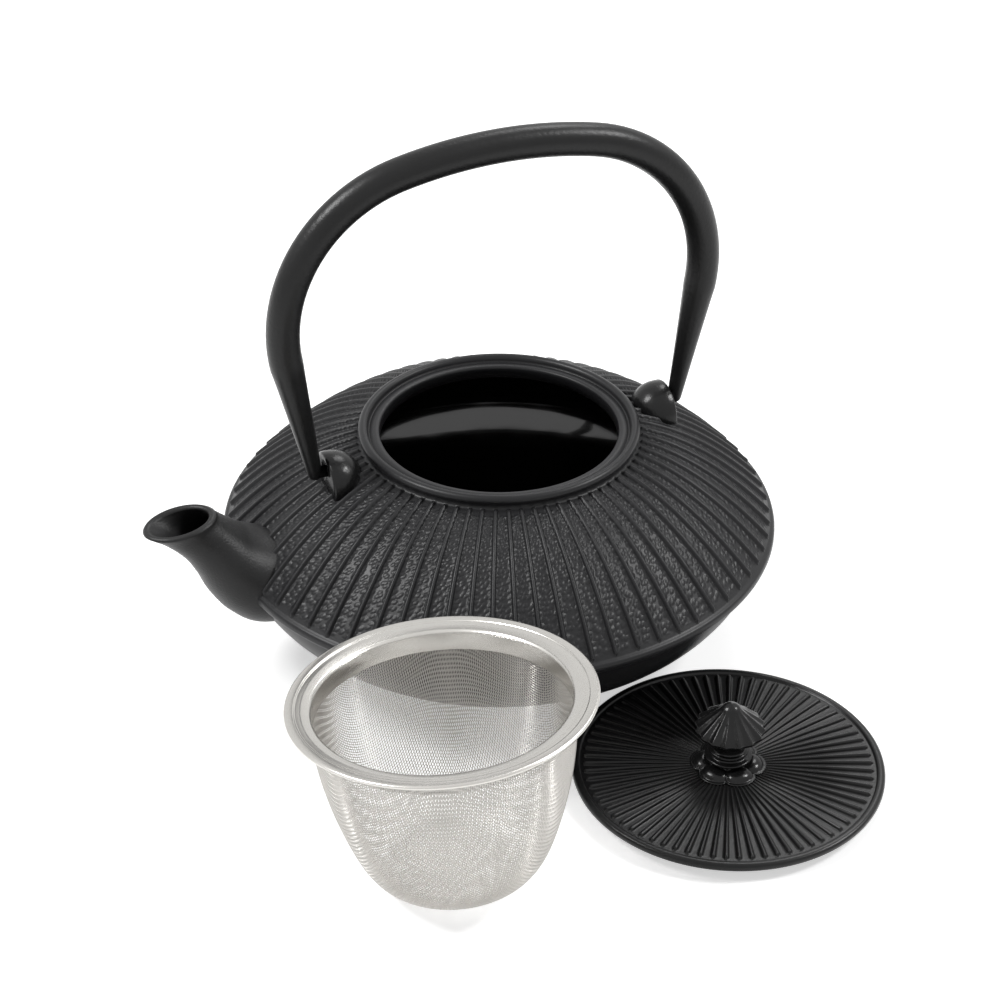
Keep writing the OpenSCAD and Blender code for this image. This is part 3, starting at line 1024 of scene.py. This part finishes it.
@dataclass
class Infuser:
    """The stainless infuser: pressed rim, plain band and woven basket."""

    height: float = 0.0595
    rim_r: float = 0.0434
    basket_r: float = 0.037
    bottom_r: float = 0.015
    mesh_t: float = 0.0005
    band_t: float = 0.0005
    band_h: float = 0.0055
    rim_t: float = 0.0007
    lean: float = math.radians(6.4)
    lean_to: float = math.radians(105)
    dome_r: float = 0.1
    pitch: float = 0.00078
    wire_r: float = 0.000135
    turn: float = math.radians(22.5)

    def stand(self) -> Matrix:
        """Returns the move from the basket's own upright axes to where it leans."""
        low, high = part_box("infuser_rim")
        middle = (low + high) / 2
        swing = Matrix.Rotation(self.lean_to, 4, "Z")
        lean = swing @ Matrix.Rotation(self.lean, 4, "Y") @ swing.inverted()
        foot = middle - lean @ Vector((0, 0, self.height - 0.8 * MM))
        foot.z = self.dome_r * (1 - math.cos(self.lean))
        return Matrix.Translation(foot) @ lean

    def line(self) -> np.ndarray:
        """The basket's outline from the middle of its bottom up into the rim."""
        b, w, h = self.basket_r, self.bottom_r, self.height

        def dome(r: float) -> float:
            """Height of the rounded bottom at that radius."""
            return self.dome_r - math.sqrt(self.dome_r**2 - r * r)

        points = [(0, 0), (5 * MM, dome(5 * MM)), (10 * MM, dome(10 * MM)), (w, dome(w)),
                  (w + 4.6 * MM, 2.4 * MM), (w + 8.3 * MM, 4.8 * MM), (b - 10.8 * MM, 8.6 * MM),
                  (b - 8.4 * MM, 13.6 * MM), (b - 5.8 * MM, 21 * MM), (b - 3.4 * MM, 29.5 * MM),
                  (b - 1.6 * MM, 38 * MM), (b - 0.5 * MM, 46 * MM), (b - 0.05 * MM, h - 7.3 * MM),
                  (b - 0.05 * MM, h - 0.9 * MM)]
        return smooth_line(points, 8)

    def net(self) -> tuple[np.ndarray, np.ndarray, np.ndarray]:
        """Drapes a square net over the basket's shape.

        Returns:
            Where each crossing lies, which way the surface faces there, and whether it is
            on the basket. Along the four ways of the weave the cells stay square, and
            between them they shear, as drawn wire cloth does.
        """
        line = self.line()
        r_at, z_at = line[:, 0], line[:, 1]
        s_at = np.concatenate([[0], np.cumsum(np.linalg.norm(np.diff(line, axis=0), axis=1))])
        ratio = np.ones(len(s_at))
        ratio[1:] = np.minimum(r_at[1:] / s_at[1:], 1)
        mean = (r_at[1:] / (3 - 2 * ratio[1:]) + r_at[:-1] / (3 - 2 * ratio[:-1])) / 2
        short_at = np.sqrt(2 * np.concatenate([[0], np.cumsum(mean * np.diff(s_at))]))
        longest = s_at[-1]
        half = int(longest / self.pitch) + 1
        steps = (np.arange(-half, half + 1) + 0.5) * self.pitch
        u, v = np.meshgrid(steps, steps, indexing="ij")
        flat = np.hypot(u, v)
        sheet = np.arctan2(v, u)
        quarter = np.round(sheet / (math.pi / 2)) * (math.pi / 2)
        bend = (sheet - quarter) / (math.pi / 4)
        s = flat.copy()
        way = bend.copy()
        for _ in range(60):
            k = np.interp(s, s_at, ratio)
            for _ in range(3):
                way -= (k * way + (1 - k) * way**3 - bend) / (k + 3 * (1 - k) * way**2 + 1e-9)
            way = np.clip(way, -1, 1)
            share = np.sin(way * math.pi / 4 * 2) ** 2
            here = (1 - share) * s + share * np.interp(s, s_at, short_at)
            s = np.clip(s + (flat - here), 0, longest * 1.5)
        good = s <= longest
        s = np.minimum(s, longest)
        angle = quarter + way * math.pi / 4 + self.turn
        r, z = np.interp(s, s_at, r_at), np.interp(s, s_at, z_at)
        lift = 0.2 * MM
        ahead = np.minimum(s + lift, longest)
        behind = np.maximum(ahead - 2 * lift, 0)
        dr = np.interp(ahead, s_at, r_at) - np.interp(behind, s_at, r_at)
        dz = np.interp(ahead, s_at, z_at) - np.interp(behind, s_at, z_at)
        size = np.maximum(np.hypot(dr, dz), 1e-9)
        out, up = dz / size, -dr / size
        point = np.stack([r * np.cos(angle), r * np.sin(angle), z], -1)
        facing = np.stack([out * np.cos(angle), out * np.sin(angle), up], -1)
        return point, facing, good

    def wires(self, name: str, net: tuple[np.ndarray, np.ndarray, np.ndarray], first: bool) -> bpy.types.Object:
        """Makes one of the weave's two sets of wires.

        Args:
            name: the piece's name.
            net: what net() returned.
            first: whether these are the wires along the net's first way.

        Returns:
            The wires, each passing over and under the ones that it crosses.
        """
        point, facing, good = net
        if not first:
            point, facing, good = point.swapaxes(0, 1), facing.swapaxes(0, 1), good.T
        count, width = good.shape
        i, j = np.indices(good.shape)
        over = np.where((i + j) % 2 == 0, 1.0, -1.0) * (1 if first else -1)
        run = np.gradient(point, axis=0)
        run /= np.maximum(np.linalg.norm(run, axis=-1, keepdims=True), 1e-9)
        side = np.cross(run, facing)
        inset = self.wire_r * 2
        middle = point + facing * (over * self.wire_r * 0.9 - inset)[..., None]
        sides = 3
        rings = []
        for k in range(sides):
            a = TURN * k / sides + math.pi / 2
            rings.append(middle + self.wire_r * (math.cos(a) * side + math.sin(a) * facing))
        points = np.stack(rings, 2).reshape(-1, 3)
        pairs = good[:-1] & good[1:]
        a = (i[:-1] * width + j[:-1])[pairs] * sides
        b = (i[1:] * width + j[1:])[pairs] * sides
        faces = np.concatenate(
            [np.stack([a + k, a + (k + 1) % sides, b + (k + 1) % sides, b + k], 1) for k in range(sides)]
        )
        used, inverse = np.unique(faces, return_inverse=True)
        mesh = bpy.data.meshes.new(name)
        mesh.from_pydata(points[used].tolist(), [], inverse.reshape(faces.shape).tolist())
        mesh.polygons.foreach_set("use_smooth", np.ones(len(mesh.polygons), bool))
        made = bpy.data.objects.new(name, mesh)
        bpy.context.scene.collection.objects.link(made)
        return made

    def rim(self) -> bpy.types.Object:
        """Returns the pressed rim with its step and its rolled edge."""
        b, h, t, o = self.basket_r, self.height, self.rim_t, self.rim_r
        inner = b - self.mesh_t - self.band_t
        outline = rounded(
            [(inner, h - 1.6 * MM), (b + 0.6 * MM, h - 1.6 * MM), (b + 0.9 * MM, h - t - 0.6 * MM),
             (b + 2 * MM, h - t), (o - 2.2 * MM, h - t), (o - 1.8 * MM, h - 1.5 * MM),
             (o - 0.7 * MM, h - 1.5 * MM), (o, h - 0.9 * MM), (o, h - 0.3 * MM),
             (o - 0.5 * MM, h), (o - 2.6 * MM, h), (o - 3.0 * MM, h - 0.35 * MM),
             (b + 1.8 * MM, h - 0.35 * MM), (inner + 0.6 * MM, h - 0.8 * MM), (inner, h - 1.3 * MM)],
            0.35 * MM, 4,
        )
        return skin("rim_pressing", turned(outline, 220), wrap=True)

    def band(self) -> bpy.types.Object:
        """Returns the plain band inside the top of the basket."""
        outer = self.basket_r - self.mesh_t
        top = self.height - 1.6 * MM
        outline = rounded(
            [(outer, top), (outer, top - self.band_h), (outer - self.band_t, top - self.band_h),
             (outer - self.band_t, top)],
            0.15 * MM, 3,
        )
        return skin("rim_band", turned(outline, 180), wrap=True)

    def build(self) -> None:
        """Builds and dresses the infuser."""
        stand = self.stand()
        polished = Stainless("polished steel", 0.20, (0.60, 0.585, 0.555)).make()
        drawn = Stainless("drawn wire", 0.30, (0.66, 0.64, 0.61)).make()
        net = self.net()
        rows = [
            (self.rim(), polished, ["infuser_rim"]),
            (self.band(), polished, ["infuser_band"]),
            (self.wires("warp_wires", net, True), drawn, ["infuser_mesh"]),
            (self.wires("weft_wires", net, False), drawn, []),
        ]
        for piece, material, nodes in rows:
            piece.data.transform(stand)
            place(piece, Body.INFUSER, Slot.STEEL, material, nodes)


# ---------------------------------------------------------------- studio


@dataclass(frozen=True)
class Softbox:
    """A soft lamp: where it stands, what it is turned to, its size and its power."""

    name: str
    at: tuple[float, float, float]
    size: float
    power: float
    to: tuple[float, float, float] = (0.0, -0.03, 0.04)

    def make(self) -> None:
        """Hangs the lamp."""
        lamp = bpy.data.lights.new(self.name, "AREA")
        lamp.shape = "DISK"
        lamp.size = self.size
        lamp.energy = self.power
        holder = bpy.data.objects.new(self.name, lamp)
        holder.location = self.at
        aim = Vector(self.to) - Vector(self.at)
        holder.rotation_euler = aim.to_track_quat("-Z", "Y").to_euler()
        bpy.context.scene.collection.objects.link(holder)


@dataclass(frozen=True)
class Studio:
    """The pale floor, the white surround, the lamps and the camera."""

    eye: tuple[float, float, float] = (-0.2564, -0.6190, 0.47705)
    looks: tuple[float, float, float] = (0.321, 0.774, -0.5455)
    roll: float = 0.0
    lens: float = 90.0
    floor_r: float = 60.0
    surround: float = 0.25

    def camera(self) -> None:
        """Sets the camera."""
        data = bpy.data.cameras.new("camera")
        data.lens = self.lens
        data.sensor_width = 36
        data.clip_start = 0.01
        holder = bpy.data.objects.new("camera", data)
        turn = Vector(self.looks).to_track_quat("-Z", "Y").to_matrix().to_4x4()
        holder.matrix_world = (
            Matrix.Translation(self.eye) @ turn @ Matrix.Rotation(self.roll, 4, "Z")
        )
        bpy.context.scene.collection.objects.link(holder)
        bpy.context.scene.camera = holder

    def floor(self) -> None:
        """Lays the floor, which shows as white paper and keeps soft shadows."""
        rows = turned([(0, 0), (self.floor_r, 0)], 64)
        floor = skin("floor", rows, wrap=False)
        shader = Shader("white paper")
        tree = shader.tree
        seen = self.seen(shader)
        shader.set(
            Base_Color=shader.mix(shader.noise(3.0), (0.80, 0.80, 0.80), (0.82, 0.82, 0.82)),
            Roughness=0.9,
            Specular_IOR_Level=0.0,
            Emission_Color=shader.mix(seen, (0, 0, 0), (0.55, 0.55, 0.55)),
            Emission_Strength=1.0,
        )
        tree.nodes.update()
        floor.data.materials.append(shader.material)

    @staticmethod
    def seen(shader: Shader) -> Wire:
        """Returns 1 for rays that show the surface itself or its mirror image."""
        path = shader.node("ShaderNodeLightPath", {}, {}, "Is Camera Ray").socket.node
        camera, gloss, clear = (
            Wire(shader, path.outputs[n])
            for n in ("Is Camera Ray", "Is Glossy Ray", "Is Transmission Ray")
        )
        return camera.math("MAXIMUM", gloss.math("MAXIMUM", clear))

    def surround_light(self) -> None:
        """Lights the surround evenly and shows it white."""
        world = bpy.data.worlds.new("surround")
        bpy.context.scene.world = world
        world.use_nodes = True
        shader = Shader.__new__(Shader)
        shader.tree = world.node_tree
        back = world.node_tree.nodes["Background"]
        shader.feed(back.inputs["Color"], (1, 1, 1, 1))
        seen = self.seen(shader)
        shader.feed(back.inputs["Strength"], seen * (1 - self.surround) + self.surround)

    def build(self) -> None:
        """Sets up everything that isn't the teapot."""
        self.camera()
        self.floor()
        self.surround_light()
        Softbox("key", (-0.8, 0.2, 1.1), 0.45, 14.0).make()
        Softbox("fill", (0.9, -0.3, 1.0), 0.35, 9.0).make()
        Softbox("back", (0.9, 0.9, 1.5), 0.7, 8.0).make()
        bpy.context.scene.view_settings.view_transform = "Standard"


def main() -> None:
    """Builds the studio, then the pieces in the order they go together."""
    logging.basicConfig(level=logging.INFO, format="%(name)s: %(message)s")
    Studio().build()
    pot = PotCasting.from_frame()
    pot.build()
    Spout.from_frame(pot).build()
    front = Lug.from_frame(pot, "front_lug", -1)
    back = Lug.from_frame(pot, "back_lug", 1)
    front.build()
    back.build()
    BailHandle.from_frame(back.face).build()
    Lid.from_frame().build()
    Infuser().build()


if __name__ == "__main__":
    main()
